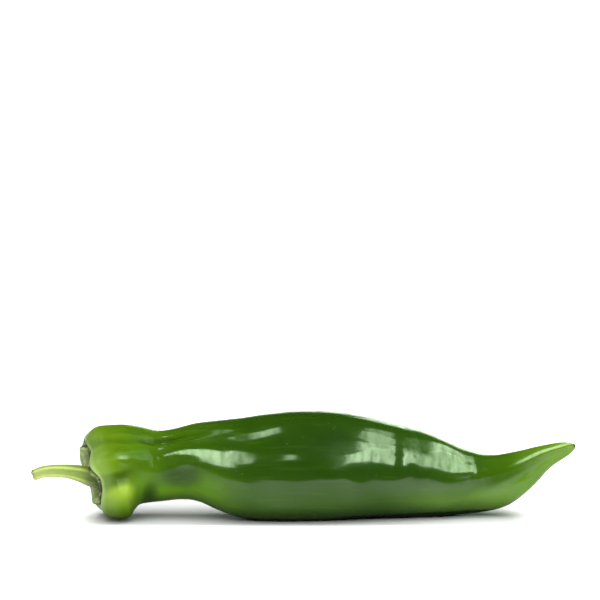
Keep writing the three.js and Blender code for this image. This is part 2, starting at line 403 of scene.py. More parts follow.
def store(geometry, name, value):
    """Has each point remember a value, for a later step or for the finish."""
    return geometry.node(
        "GeometryNodeStoreNamedAttribute", {"data_type": "FLOAT", "domain": "POINT"},
        {"Geometry": geometry, "Name": name, "Value": value},
    )


def moved(geometry, offset):
    """Moves each point by its own offset."""
    return geometry.node("GeometryNodeSetPosition", {}, {"Geometry": geometry, "Offset": offset})


def finish_shaping(geometry, wires):
    """Every tree ends alike: real geometry, its finish and smooth shading."""
    real = geometry.node("GeometryNodeRealizeInstances", {}, {"Geometry": geometry})
    smooth = real.node("GeometryNodeSetShadeSmooth", {}, {"Geometry": real})
    dressed = smooth.node(
        "GeometryNodeSetMaterial", {}, {"Geometry": smooth, "Material": wires["Finish"]}
    )
    end = geometry.tree.nodes.new("NodeGroupOutput")
    geometry.tree.links.new(dressed.socket, end.inputs[0])


def shape(obj, tree, inputs):
    """Runs the tree on the object once, and leaves a plain mesh behind."""
    modifier = obj.modifiers.new(tree.name, "NODES")
    modifier.node_group = tree
    for socket in tree.interface.items_tree:
        if socket.in_out == "INPUT" and socket.name in inputs:
            modifier[socket.identifier] = inputs[socket.name]
    evaluated = obj.evaluated_get(bpy.context.evaluated_depsgraph_get())
    mesh = bpy.data.meshes.new_from_object(evaluated)
    obj.modifiers.clear()
    obj.data = mesh
    mesh.name = obj.name
    mesh.calc_loop_triangles()
    points = read(mesh.vertices, "co", 3)
    corners = points[read(mesh.loop_triangles, "vertices", 3, int)]
    volume = np.einsum("ij,ij->i", corners[:, 0], np.cross(corners[:, 1], corners[:, 2])).sum() / 6
    if volume < 0:
        mesh.flip_normals()
    sharing = np.bincount(read(mesh.loops, "edge_index", 1, int).ravel())
    print(obj.name, "triangles:", len(corners), "volume, ml:", round(volume * 1e6, 2),
          "open edges:", int((sharing != 2).sum()))
    return obj


def read(items, name, size, kind=float):
    """One value of every vertex, corner or triangle, as rows of an array."""
    flat = np.empty(len(items) * size, kind)
    items.foreach_get(name, flat)
    return flat.reshape(-1, size)


def hump(t):
    """1 at zero, falling smoothly to 0 at one and beyond, on either side."""
    near = t.at_least(-1.0).at_most(1.0)
    return (near * math.pi).cos() * 0.5 + 0.5


def turn(angle, from_angle):
    """The difference of two angles in degrees, from -180 to 180."""
    return angle.sum("WRAP", angle - from_angle, 180.0, -180.0)


print("shaping helpers ready")

# %% [markdown]
# ## Lobes, folds and ripples
#
# The seed chambers inside push the shoulder out into lobes, and the creases between them run on
# down the neck as folds. Further along the wall is only faintly three-sided, with shallow
# dents, and nowhere is it quite even: slow ripples break the reflections up, which is
# what tells the eye that it is a grown thing. All of this could be sculpted by hand, but as
# rules in a tree each lobe is one line of a table, and stays easy to move.

# %% List the lobes and folds
# Angle, spread round it, height, where its middle lies past the crest, reach ahead and behind
LOBES = [
    (80, 52, 2.1, 6, 8, 24),
    (22, 30, 2.8, 4, 13, 18),
    (-56, 54, 4.7, 8, 13.5, 9),
    (-132, 50, 3.2, 6.5, 12, 13),
    (158, 48, 2.9, 5, 11, 16),
]
# Angle, width, relief, and the x where it starts and ends; a furrow has a negative relief
FOLDS = [
    (50, 13, -1.2, -66, -30),
    (30, 22, 0.8, -64, -16),
    (-16, 42, -1.0, -58, -24),
    (118, 16, -1.0, -66, -20),
    (-97, 15, -0.8, -65, -34),
    (193, 18, -1.1, -66, -12),
]
# x, angle, depth, length, width
DENTS = [
    (-53.0, -46, 0.9, 5.5, 50),
    (7, 34, 0.55, 11, 40),
    (-19, 58, 0.45, 12, 34),
    (31, 22, -0.3, 13, 60),
    (30.0, 26, -0.5, 5.0, 55),
    (55, 62, 0.35, 12, 50),
    (-4, 146, 0.8, 20, 40),
    (38, 196, 0.7, 16, 44),
    (-28, 232, 0.6, 14, 40),
]


def lobe_relief(angle, past):
    """How far the lobes stand out, at an angle and a distance past the crest."""
    total = 0.0
    for lobe_angle, spread, height, middle, ahead, behind in LOBES:
        beyond = past - middle
        along = beyond.at_least(0.0) / behind + beyond.at_most(0.0) / ahead
        total = total + hump(turn(angle, lobe_angle) / spread) * hump(along) * height
    return total


def fold_relief(angle, station):
    """How far the folds stand out or sink in, at an angle and an x."""
    total = 0.0
    for fold_angle, width, relief, start, end in FOLDS:
        along = (station - (start + end) / 2) / ((end - start) / 2)
        total = total + hump(along) * hump(turn(angle, fold_angle) / width) * relief
    return total


def dent_relief(angle, station):
    """How far the dents sink in, at an angle and an x."""
    total = 0.0
    for x, dent_angle, depth, length, width in DENTS:
        total = total - hump((station - x) / length) * hump(turn(angle, dent_angle) / width) * depth
    return total


print(len(LOBES), "lobes,", len(FOLDS), "folds,", len(DENTS), "dents")

# %% [markdown]
# ## Shaping the pod
#
# The tree adds up what the tables say, moves each point outwards by that much, and then presses
# flat whatever would go through the table top, just as the belly of a ripe pod settles. The
# ripples only ever go inwards, so the pod never grows past its measured size.

# %% Shape the pod
POD_INPUTS = {
    "Lobes": 1.0,
    "Folds": 1.0,
    "Dents": 1.0,
    "Three-sidedness": 0.035,
    "Ridge angle": 50.0,
    "Tip sidedness": 0.13,
    "Tip ridge angle": 44.0,
    "Ripple depth": 0.22,
    "Ripple length": 15.0,
    "Dimple depth": 0.10,
    "Dimple length": 4.5,
    "Seed": 4.0,
}


def pod_tree():
    """The tree that turns the plain pod into the grown one."""
    tree, wires = new_shaping("shape the pod", {**POD_INPUTS, "Finish": None})
    angle, past, station, girth = (fact(wires, name) for name in ("angle", "past", "station", "girth"))
    outward, spoke, straight = (
        fact(wires, name, "FLOAT_VECTOR") for name in ("outward", "spoke", "straight")
    )
    swell = lobe_relief(angle, past) * wires["Lobes"]
    dips = fold_relief(angle, station) * wires["Folds"] + dent_relief(angle, station) * wires["Dents"]
    body_sides = station.rise(-44.0, -18.0) * ((angle - wires["Ridge angle"]) * math.radians(3)).cos()
    tip_sides = station.rise(48.0, 67.0) * ((angle - wires["Tip ridge angle"]) * math.radians(3)).cos()
    sides = body_sides * wires["Three-sidedness"] + tip_sides * wires["Tip sidedness"]
    wall = dips + girth * sides
    wall = wall * girth.rise(0.5, 1.5)
    ripples = 0.0
    for size in ("Ripple", "Dimple"):
        drawn_out = straight.times((0.5, 1.0, 1.0))
        often = 1.0 / wires[size + " length"]
        waves = straight.node(
            "ShaderNodeTexNoise", {"noise_dimensions": "4D"},
            {"Vector": drawn_out, "W": wires["Seed"], "Scale": often, "Detail": 0.0}, 0,
        )
        ripples = ripples - waves.rise(0.25, 0.75) * wires[size + " depth"]
    ripples = ripples * girth.rise(4.0, 12.0)
    offset = outward.scaled((swell + ripples) * MM).plus(spoke.scaled(wall * MM))
    known = store(store(wires["Geometry"], "swell", swell), "furrow", dips)
    grown = moved(known, offset)
    height = grown.node("GeometryNodeInputPosition").part("Z")
    up = grown.node("ShaderNodeCombineXYZ", {}, {"Z": 0.0 - height.at_most(0.0)})
    finish_shaping(moved(grown, up), wires)
    return tree


pod_shaping = pod_tree()
print("nodes in the pod's tree:", len(pod_shaping.nodes))

# %% [markdown]
# ## How a finish is written
#
# All three finishes are made alike. One shader does the work. What is the same all over a piece is
# a plain number on one of its sockets. What changes over the surface, such as colour and
# roughness, is worked out from noise and from what each point was told about itself. The finest
# relief is far too small for geometry, so Bump nodes make it.

# %% Write the helpers for finishes
def new_finish(name, **constants):
    """A material with one Principled shader; what is the same all over is set on its sockets."""
    material = bpy.data.materials.new(name)
    material.use_nodes = True
    shader = material.node_tree.nodes["Principled BSDF"]
    for label, value in constants.items():
        shader.inputs[label.replace("_", " ")].default_value = value
    return material, Wire(material.node_tree), shader


def feed(shader, **wires):
    """Links what changes over the surface to the shader's sockets."""
    for label, wire in wires.items():
        wire.tree.links.new(wire.socket, shader.inputs[label.replace("_", " ")])


def told(start, name, output="Fac"):
    """Reads in a material what each point was told about itself."""
    return start.node("ShaderNodeAttribute", {"attribute_name": name}, {}, output)


def in_mm(start):
    """Where the point lies on the object, in millimetres."""
    return start.node("ShaderNodeTexCoord", {}, {}, "Object").scaled(1 / MM)


def noise(vector, size, detail=2.0, roughness=0.5, stretch=(1.0, 1.0, 1.0)):
    """Soft noise whose blobs are about size across, in the units of the vector."""
    values = {"Vector": vector.times(stretch), "Scale": 1.0 / size, "Detail": detail, "Roughness": roughness}
    return vector.node("ShaderNodeTexNoise", {}, values, 0)


def cells(vector, scale):
    """The distance from the middle of the nearest of many scattered cells."""
    values = {"Vector": vector, "Scale": scale}
    return vector.node("ShaderNodeTexVoronoi", {"feature": "F1"}, values, "Distance")


def bump(height, distance, below=None):
    """Relief for the shader's normal, in metres, on top of any relief below it."""
    values = {"Height": height, "Distance": distance, "Strength": 1.0}
    if below:
        values["Normal"] = below
    return height.node("ShaderNodeBump", {}, values)


def glazed(colour, layers):
    """Lays colours over a colour one after the other, each with a share from 0 to 1."""
    for share, layer in layers:
        colour = share.mix(colour, (*layer, 1))
    return colour


print("finish helpers ready")

# %% [markdown]
# ## Places on the skin
#
# A pod isn't one green. It changes from end to end, its low side is painted paler for the light
# that the table throws up onto it, and its furrows are painted darker as shade, so every layer of
# its finish asks where on the pod it is. The straightened coordinates answer that, as they follow
# every bend. Their height
# over the girth is called the side here: 1 on top, 0 at the front and the back, and -1
# underneath, however thick the pod is.

# %% Name the places on the skin
class Skin:
    """What the layers of the skin's finish ask about a point. Lengths are millimetres."""

    def __init__(self, start):
        self.way = told(start, "straight", "Vector")
        self.x = self.way.part("X")
        self.side = self.way.part("Z") / told(start, "girth").at_least(1.0)
        self.height = in_mm(start).part("Z")
        self.past = told(start, "past")
        self.swell = told(start, "swell")
        self.furrow = told(start, "furrow")
        # how much the point belongs to a place, from 0 to 1
        self.low = self.side.rise(0.12, -0.55)
        self.shoulder = self.x.rise(-56.0, -64.0)
        self.neck = self.x.between(-62.0, -52.0, -34.0, -16.0)
        self.scar = self.x.rise(89.6, 90.6)
        self.close = self.height.rise(7.0, 1.5)
        # the strip next to the table, which climbs with the belly towards the tip
        climb = self.x.rise(0.0, 20.0) * 0.9 + self.x.rise(38.0, 56.0) * 0.4
        self.under = (self.height - climb).rise(1.8, 0.8)
        # pores: specks under a millimetre wide
        self.pores = cells(self.way, 0.42).rise(0.16, 0.06) * noise(self.way, 9.0).rise(0.52, 0.62)


print("each point knows:", [layer.name for layer in pod.data.attributes if "." not in layer.name])

# %% [markdown]
# ## The skin's colour
#
# Colours are laid on one after the other, as a painter glazes. First comes the change from end to
# end: the shoulder, neck and tip are yellow-green and the body is dark. The low side is painted
# paler, for the light that the table throws up onto it. Then the furrows between the lobes are
# painted darker as shade, and the crest round the calyx is laid on pale, partly for its bloom and
# partly as a painted rim of reflected light. Right at the table hardly any light gets in, so the
# skin is painted darker there as shade.

# %% Colour the skin from place to place
def skin_ground(skin):
    """The broad colours of the skin."""
    x, side, low = skin.x, skin.side, skin.low
    body = ((x + 80.0) / 175.0).ramp(
        (0.02, (0.145, 0.262, 0.004)),
        (0.07, (0.115, 0.215, 0.003)),
        (0.13, (0.068, 0.155, 0.002)),
        (0.25, (0.030, 0.086, 0.001)),
        (0.32, (0.020, 0.062, 0.001)),
        (0.46, (0.013, 0.044, 0.001)),
        (0.66, (0.015, 0.052, 0.001)),
        (0.76, (0.026, 0.078, 0.001)),
        (0.85, (0.036, 0.098, 0.001)),
        (0.97, (0.130, 0.250, 0.002)),
    )
    body = glazed(body, [
        # the low side, most of all on the shoulder's lobes: painted paler for the light the table throws up
        (low * skin.shoulder * skin.height.rise(3.5, 13.0, 0.0, 0.9), (0.370, 0.530, 0.050)),
        (low * x.rise(22.0, 58.0, 0.12, 0.75), (0.105, 0.235, 0.008)),
        (low * skin.neck * 0.8, (0.100, 0.230, 0.003)),
        # where less and less light gets in: underneath the neck, and towards the table
        (skin.neck * side.rise(-0.5, -1.0) * 0.75, (0.012, 0.035, 0.001)),
        (skin.close * 0.55, (0.004, 0.012, 0.001)),
        (skin.under, (0.002, 0.006, 0.001)),
    ])
    # painted shade: the skin is darkened between the lobes, in the folds' furrows and in the dents
    crease_shade = skin.swell.rise(1.2, 0.2) * skin.shoulder + skin.furrow.rise(-0.2, -1.0)
    body = crease_shade.at_most(1.0).mix(body, body.times((0.30, 0.36, 0.22)))
    return glazed(body, [
        # the crest round the calyx, wide and faint and then narrow and pale: partly its bloom, partly a
        # painted rim of reflected light
        (skin.past.between(-3.0, -0.5, 1.0, 6.0) * 0.4, (0.250, 0.370, 0.110)),
        (skin.past.between(-2.4, -0.8, 0.1, 1.6) * 0.6, (0.400, 0.540, 0.200)),
    ])


print("skin colours from place to place ready")

# %% [markdown]
# ## The skin's small marks
#
# Over the broad colours lie the small marks that tell the eye how big the pepper is: soft blotches,
# faint streaks that run lengthwise, darker lines on top of the neck that are painted shade for its
# fine grooves, pale pores, and at the very tip the withered remains of the flower.

# %% Mark the skin
def skin_colour(skin):
    x, way = skin.x, skin.way
    blotch = noise(way, 14.0, 3.0, 0.55, (0.5, 1.0, 1.0)).rise(0.35, 0.65)
    streak = noise(way, 1.6, 2.0, 0.6, (0.06, 1.0, 1.0)).rise(0.55, 0.75)
    # painted shade: dark lengthwise lines on top of the neck stand in for the shade in its fine grooves
    groove_shade = noise(way, 2.2, 2.0, 0.6, (0.14, 1.0, 1.0)).rise(0.46, 0.60)
    groove_shade = groove_shade * x.between(-68.0, -58.0, -40.0, -26.0) * skin.side.rise(-0.1, 0.3)
    return glazed(skin_ground(skin), [
        (blotch * 0.3, (0.012, 0.045, 0.001)),
        (streak * 0.09, (0.110, 0.210, 0.010)),
        (groove_shade * 0.7, (0.040, 0.100, 0.002)),
        (skin.pores * 0.18, (0.160, 0.280, 0.030)),
        (skin.scar, (0.055, 0.040, 0.012)),
    ])


print("skin marks ready")

# %% [markdown]
# ## The skin's wax
#
# A fresh pod has a thin wax over a tough skin, which mirrors sharply, while the skin under it hardly
# shines. So the skin is a slightly rough surface under a clear coat. The coat isn't even. It is
# thin on the shoulder, apart from one glint on the front lobe, rubbed off in patches, mottled
# all over the upper side, and weak where the skin faces the table. Such flaws break the
# highlights up, and that is what makes them look grown and not moulded.

# %% Spread the wax
# Rubbed patches: x and then side, each as the values where a patch begins, is full, and ends likewise
RUBBED = [
    ((60.0, 65.0, 70.0, 76.0), (-0.2, 0.05, 1.5, 2.0)),
    ((27.5, 29.0, 36.0, 41.0), (0.42, 0.60, 0.85, 0.93)),
    ((-24.0, -22.0, -19.0, -16.0), (0.45, 0.65, 0.85, 0.93)),
    ((-20.0, -17.0, -12.0, -7.0), (0.25, 0.40, 0.56, 0.64)),
]
# The glint on the front lobe: x and side of its middle, and how far it reaches from there
GLINT = (-62.8, 0.26, 3.2, 0.22)


def skin_wax(skin):
    """How thick the clear coat is, from 0 to 1, and how rough the skin is under it."""
    x, side, low, way = skin.x, skin.side, skin.low, skin.way
    glint_x, glint_side, reach_x, reach_side = GLINT
    glint = hump((x - glint_x) / reach_x) * hump((side - glint_side) / reach_side)
    dull = (x.rise(-44.0, -51.0) * side.rise(-0.15, 0.1)).at_least(x.rise(-49.0, -61.0))
    dull = dull * side.rise(0.99, 0.93) * (1.0 - glint)
    rubbed = sum(x.between(*along) * side.between(*across) for along, across in RUBBED)
    mottle = noise(way, 2.2, 3.0, 0.6, (1.0, 0.4, 0.4)).rise(0.62, 0.3) * side.rise(-0.15, 0.05)
    coat = noise(way, 8.0).rise(0.25, 0.75, 0.75, 1.0)
    for share in (
        mottle * 0.5,
        skin.scar,
        dull * 0.88,
        rubbed.at_most(1.0) * 0.85,
        skin.under,
        skin.close * 0.55,
        low * x.between(-30.0, -20.0, 24.0, 44.0) * 0.45,
        low * x.rise(60.0, 74.0) * 0.3,
        skin.neck * side.rise(0.15, -0.15) * 0.6,
    ):
        coat = coat * (1.0 - share)
    rough = noise(way, 5.0, 3.0).rise(0.3, 0.7, 0.22, 0.34) + skin.scar * 0.3 + dull * 0.14
    return coat, rough


print(len(RUBBED), "rubbed patches")

# %% [markdown]
# ## Dressing the pod
#
# The last layer is relief: a fine unevenness all over, knobs on top of the tip, and the pores. Then
# the shaping tree runs with this finish, the skin is put on the body it rides on, and the frame's
# own solid for it is hidden.

# %% Dress the pod
def skin_relief(skin):
    fine = bump(noise(skin.way, 2.6, stretch=(0.45, 1.0, 1.0)) * (1.0 - skin.under), 0.00010)
    knobs = noise(skin.way, 1.8, 1.0, stretch=(0.6, 1.0, 1.0))
    knobs = knobs * skin.x.rise(66.0, 74.0) * skin.side.rise(-0.3, 0.1)
    return bump(skin.pores, 0.00002, below=bump(knobs, 0.00050, below=fine))


def skin_finish():
    material, start, shader = new_finish(
        "waxy green skin", IOR=1.45, Specular_IOR_Level=0.015, Coat_Roughness=0.135, Coat_IOR=1.5
    )
    skin = Skin(start)
    coat, rough = skin_wax(skin)
    feed(shader, Base_Color=skin_colour(skin), Roughness=rough, Coat_Weight=coat, Normal=skin_relief(skin))
    return material


shape(pod, pod_shaping, {**POD_INPUTS, "Finish": skin_finish()})
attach(pod, "root")
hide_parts("fruit")

# %% [markdown]
# ## The calyx
#
# The calyx is the old green cup of the flower. It lines the hollow, ends in short blunt teeth,
# and has dried into wrinkles by the time a pepper reaches the kitchen. It is lofted by
# the same skin rule as the pod, a little above it, so it follows every lobe. The wrinkles and
# the veins that run to its teeth are one more shaping tree.

# %% Loft the calyx
# Angle of each tooth, and how much further than the margin it reaches
TEETH = [(8, 0.75), (62, 0.45), (121, 0.70), (186, 0.50), (243, 0.65), (304, 0.55)]
TOOTH_WIDTH = 21.0
MARGIN = 3.95  # the place of the edge between two teeth, in the hollow's table
COLLAR_X = -67.4
COLLAR_DROP = 1.8
COLLAR_RADIUS = 4.6
LIFT = 0.3  # clear of the pod
DISH = 4 / 7  # the share of the way out to the margin where the lining begins
FAR = 99.0  # past the crest, where no lobe reaches


def margin_at(around):
    """How far out the edge lies at an angle: teeth on an edge that bows in between them."""
    reach = np.full_like(around, MARGIN)
    for angle, further in TEETH:
        apart = np.abs((around - angle + 180) % 360 - 180) / TOOTH_WIDTH
        reach += further / (1 + apart**2) ** 1.5
    return reach


def collar_section():
    """Where the stem meets the calyx: its middle, direction, front and up."""
    middle, along, front, up = section_at(COLLAR_X)
    return middle - up * COLLAR_DROP, along, front, up


def calyx_rows():
    """Rows of points from the collar out to the teeth, over their edge and back underneath."""
    around = angles
    margin = margin_at(around)
    rows, facts = [], {"angle": [], "past": [], "outward": [], "free": [], "share": []}

    def add(points, past, outward, free, share):
        rows.append(points)
        whole = np.ones(AROUND)
        for name, value in zip(facts, (around, past * whole, outward, free * whole, share * whole)):
            facts[name].append(value)

    def dish(share, lift):
        """One ring of the lining, at a share of the way out to the margin."""
        columns = [smooth_skin(share * margin[[k]], around[[k]], lift) for k in range(AROUND)]
        points = np.array([row[0, 0] for row, known in columns])
        past = np.array([known["past"][0, 0] for row, known in columns])
        outward = np.array([known["outward"][0, 0] for row, known in columns])
        return points, past, outward

    middle, along, front, up = collar_section()
    turned = np.radians(around)[:, None]
    spokes = front * np.cos(turned) + up * np.sin(turned)
    back = -along * np.ones((AROUND, 1))
    for radius in (0.0, 1.5, 3.0, 4.0, COLLAR_RADIUS):
        add(middle + spokes * radius, FAR, back, 0.0, radius / COLLAR_RADIUS * 0.3)
    inner = rows[-1]
    outer = dish(DISH, LIFT + 1.1)[0]
    for t in np.linspace(0, 1, 12)[1:-1]:
        add(inner * (1 - t) + outer * t, FAR, back, t, 0.3 + 0.27 * t)
    # the upper side comes nearer to the skin towards the teeth, and the edge is rounded over
    for share in np.linspace(DISH, 1, 26):
        add(*dish(share, LIFT + 1.3 - 0.4 * share), 1.0 if share < 0.97 else 0.4, share)
    add(*dish(1.012, LIFT + 0.62), 0.0, 1.0)
    add(*dish(1.012, LIFT + 0.28), 0.0, 1.0)
    for share in np.linspace(1, 0, 15):
        add(*dish(share, LIFT), 0.0, share)
    return np.array(rows), {name: np.array(values) for name, values in facts.items()}


calyx = loft("calyx_cup", *calyx_rows())
print("calyx rows:", len(calyx.data.vertices) // AROUND)

# %% [markdown]
# ## Veins and wrinkles
#
# A vein runs from the stem to each tooth, and between the veins the drying flesh has shrunk into
# radial creases. Noise read in polar coordinates gives such creases: it changes quickly round the
# stem and slowly outwards. The same creases are kept as an attribute, so that the finish can
# paint shade exactly where the surface is sunk.

# %% Wrinkle the calyx
CALYX_INPUTS = {
    "Lobes": 1.0,
    "Vein height": 0.35,
    "Crease depth": 0.55,
    "Creases": 4.2,
    "Pucker depth": 0.25,
    "Seed": 2.0,
}
VEIN_WIDTH = 11.0  # degrees, either way


def calyx_tree():
    """The tree that raises the veins and sinks the creases and puckers."""
    tree, wires = new_shaping("wrinkle the calyx", {**CALYX_INPUTS, "Finish": None})
    angle, past, free, share = (fact(wires, name) for name in ("angle", "past", "free", "share"))
    outward = fact(wires, "outward", "FLOAT_VECTOR")
    swell = lobe_relief(angle, past) * wires["Lobes"]
    veins = 0.0
    for tooth_angle, _ in TEETH:
        veins = veins + hump(turn(angle, tooth_angle) / VEIN_WIDTH)
    ray, often = angle * math.radians(1), wires["Creases"]
    across, up = ray.cos() * often, (ray - math.pi / 2).cos() * often
    polar = angle.node("ShaderNodeCombineXYZ", {}, {"X": across, "Y": up, "Z": share * 1.6})
    place = wires["Geometry"].node("GeometryNodeInputPosition").scaled(1 / MM)

    def sunk(vector, scale):
        """Lines of sunk skin, from 0 to 1."""
        made = vector.node(
            "ShaderNodeTexNoise", {"noise_dimensions": "4D", "noise_type": "RIDGED_MULTIFRACTAL"},
            {"Vector": vector, "W": wires["Seed"], "Scale": scale, "Detail": 1.5}, 0,
        )
        return made.rise(0.7, 1.7)

    creases, puckers = sunk(polar, 1.0), sunk(place, 0.42)
    height = veins * wires["Vein height"] - creases * wires["Crease depth"] - puckers * wires["Pucker depth"]
    offset = outward.scaled((swell + height * free * share.rise(0.2, 0.6)) * MM)
    known = store(store(wires["Geometry"], "crease", creases), "vein", veins)
    finish_shaping(moved(known, offset), wires)
    return tree


def calyx_finish():
    material, start, shader = new_finish("dry calyx", IOR=1.45, Specular_IOR_Level=0.35)
    place = in_mm(start)
    share, crease, vein = (told(start, name) for name in ("share", "crease", "vein"))
    # the last stop, on the rounded edge, is nearly black: painted shade in the gap between the calyx and the
    # crest
    base = share.ramp(
        (0.25, (0.045, 0.080, 0.010)),
        (0.55, (0.100, 0.150, 0.028)),
        (0.80, (0.170, 0.230, 0.062)),
        (0.93, (0.310, 0.390, 0.160)),
        (0.97, (0.340, 0.410, 0.190)),
        (1.00, (0.040, 0.050, 0.014)),
    )
    cracks = place.node(
        "ShaderNodeTexNoise", {"noise_type": "RIDGED_MULTIFRACTAL"},
        {"Vector": place, "Scale": 0.5, "Detail": 3.0}, 0,
    ).rise(0.85, 1.5)
    base = glazed(base, [
        # greener on the veins, nearly black in the creases as painted shade, nearly black in the cracks, and
        # pale where it is driest
        (vein * 0.6, (0.230, 0.320, 0.080)),
        (crease.rise(0.25, 0.75) * 0.9, (0.012, 0.018, 0.004)),
        (cracks * 0.85, (0.018, 0.022, 0.006)),
        (noise(place, 1.8, 3.0).rise(0.52, 0.68) * 0.5, (0.420, 0.460, 0.260)),
    ])
    rough = noise(place, 1.2).rise(0.3, 0.7, 0.55, 0.8)
    grain = bump(noise(place, 0.6, 4.0, 0.6), 0.00012)
    feed(shader, Base_Color=base, Roughness=rough, Normal=grain)
    return material


shape(calyx, calyx_tree(), {**CALYX_INPUTS, "Finish": calyx_finish()})
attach(calyx, "root")
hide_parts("calyx")

# %% [markdown]
# ## The stem
#
# The stem is a bent stalk with five ribs. It flares where it stands on the calyx and was snipped
# off at the other end. A stalk is a profile swept along a path, which is what Curve to Mesh
# does, so the path and its thickness are given as a line of points, and the tree sweeps a circle
# along it and raises the ribs.

# %% Sweep the stem
# x, y, z and radius, from the calyx to the cut
STEM = [
    (-69.4, -3.1, 13.9, 3.7),
    (-71.6, -3.7, 14.2, 3.3),
    (-74.5, -4.4, 15.2, 2.85),
    (-78.5, -5.2, 16.1, 2.35),
    (-83.0, -5.8, 16.5, 2.1),
    (-87.0, -6.1, 16.2, 1.9),
    (-90.4, -6.2, 15.0, 1.8),
]
STEM_INPUTS = {"Ribs": 5.0, "Rib depth": 0.07, "Groove depth": 0.12, "Groove width": 1.1, "Seed": 1.0}
STEM_GAP = 0.3  # clear of the calyx
STEM_FOOT = 4.2  # the radius where it stands on the calyx


def stem_path():
    """The stem's middle line as a chain of points that know their radius."""
    middle, along, _, _ = collar_section()
    stations = np.array([(*(middle - along * STEM_GAP), STEM_FOOT), *STEM])
    reach = np.concatenate([[0], np.cumsum(np.linalg.norm(np.diff(stations[:, :3], axis=0), axis=1))])
    fine = np.linspace(0, reach[-1], 90)
    rows = np.stack([through(list(zip(reach, column)), fine) for column in stations.T], axis=-1)
    mesh = bpy.data.meshes.new("stalk")
    mesh.from_pydata((rows[:, :3] * MM).tolist(), [(i, i + 1) for i in range(len(rows) - 1)], [])
    thick = mesh.attributes.new("thick", "FLOAT", "POINT")
    thick.data.foreach_set("value", (rows[:, 3] * MM).astype(np.float32))
    obj = bpy.data.objects.new("stalk", mesh)
    scene.collection.objects.link(obj)
    return obj


def stem_tree():
    """The tree that sweeps a circle along the line and raises the ribs."""
    tree, wires = new_shaping("sweep the stem", {**STEM_INPUTS, "Finish": None})
    line = wires["Geometry"]
    curve = line.node("GeometryNodeMeshToCurve", {}, {0: line})
    thick = fact(wires, "thick")
    share = curve.node("GeometryNodeSplineParameter", {}, {}, "Factor")
    curve = store(curve, "lengthwise", share)
    circle = curve.node("GeometryNodeCurvePrimitiveCircle", {}, {"Resolution": 90, "Radius": 1.0})
    circle = store(circle, "round", circle.node("GeometryNodeSplineParameter", {}, {}, "Factor"))
    stalk = curve.node(
        "GeometryNodeCurveToMesh", {},
        {"Curve": curve, "Profile Curve": circle, "Scale": thick, "Fill Caps": True},
    )
    round_share = fact(wires, "round")
    ribs = (round_share * wires["Ribs"] * (2 * math.pi)).cos() * wires["Rib depth"]
    place = stalk.node("GeometryNodeInputPosition").scaled(1 / MM)
    drawn_out = place.times((0.12, 1.0, 1.0))
    often = 1.0 / wires["Groove width"]
    groove = place.node(
        "ShaderNodeTexNoise", {"noise_dimensions": "4D"},
        {"Vector": drawn_out, "W": wires["Seed"], "Scale": often, "Detail": 2.0}, 0,
    )
    lift = thick * ribs - groove.rise(0.3, 0.7) * wires["Groove depth"] * MM
    normal = stalk.node("GeometryNodeInputNormal")
    finish_shaping(moved(stalk, normal.scaled(lift)), wires)
    return tree


def stem_finish():
    material, start, shader = new_finish("ribbed stem", IOR=1.45, Specular_IOR_Level=0.5)
    place = in_mm(start)
    along, turned = told(start, "lengthwise"), told(start, "round")
    # the root end is painted dark: painted shade at the stem's foot, down in the hollow between the lobes
    base = along.ramp(
        (0.00, (0.030, 0.045, 0.006)),
        (0.14, (0.045, 0.070, 0.008)),
        (0.32, (0.150, 0.205, 0.024)),
        (0.55, (0.210, 0.285, 0.042)),
        (0.90, (0.280, 0.350, 0.080)),
        (0.99, (0.300, 0.340, 0.110)),
    )
    ridge = (turned * (STEM_INPUTS["Ribs"] * 2 * math.pi)).cos().rise(0.2, 1.0)
    fibre = noise(place, 0.5, stretch=(0.05, 1.0, 1.0)).rise(0.5, 0.7)
    speck = cells(place, 0.8).rise(0.2, 0.1) * noise(place, 3.0).rise(0.5, 0.6)
    dried = along.rise(0.94, 0.995) * noise(place, 2.2).rise(0.3, 0.55)
    base = glazed(base, [
        (ridge * along.rise(0.1, 0.4) * 0.5, (0.550, 0.680, 0.150)),
        (fibre * 0.35, (0.160, 0.270, 0.020)),
        (speck * 0.6, (0.060, 0.070, 0.010)),
        (dried * 0.85, (0.070, 0.055, 0.018)),
    ])
    rough = noise(place, 1.0).rise(0.3, 0.7, 0.38, 0.55)
    grain = bump(noise(place, 0.5, 3.0, 0.6, (0.15, 1.0, 1.0)), 0.00008)
    feed(shader, Base_Color=base, Roughness=rough, Normal=grain)
    return material


stem = stem_path()
shape(stem, stem_tree(), {**STEM_INPUTS, "Finish": stem_finish()})
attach(stem, "root")
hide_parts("stem")

# %% [markdown]
# ## The table
#
# The pepper lies on a plain white table. What the skin mirrors matters as much as what lights it,
# so the table comes in two parts with one finish. The near part shows in the skin as a
# soft grey sheen along its lower half. The far part lights the pepper but is not
# mirrored, as if a dark card lay just outside the picture, which gives the deep green band
# above that sheen. Away from the pepper the table is given a painted glow, which leaves a painted
# shade round the pepper, so that it stays white to its far edge.

# %% Lay the table
TABLE_Z = -0.05  # a hair below the pepper, so that the two never share a surface
# Rectangles as low x, low y, high x, high y. The far ones are the rest of the table round the near ones.
NEAR = [
    (-125.0, -46.0, 28.0, 60.0),
    (28.0, -36.0, 108.0, 60.0),
    (108.0, -76.0, 320.0, 60.0),
]
REST = [
    (-2500.0, -1500.0, 2500.0, -76.0),
    (-2500.0, -76.0, 108.0, -46.0),
    (28.0, -46.0, 108.0, -36.0),
    (-2500.0, -46.0, -125.0, 60.0),
    (320.0, -76.0, 2500.0, 60.0),
    (-2500.0, 60.0, 2500.0, 4000.0),
]
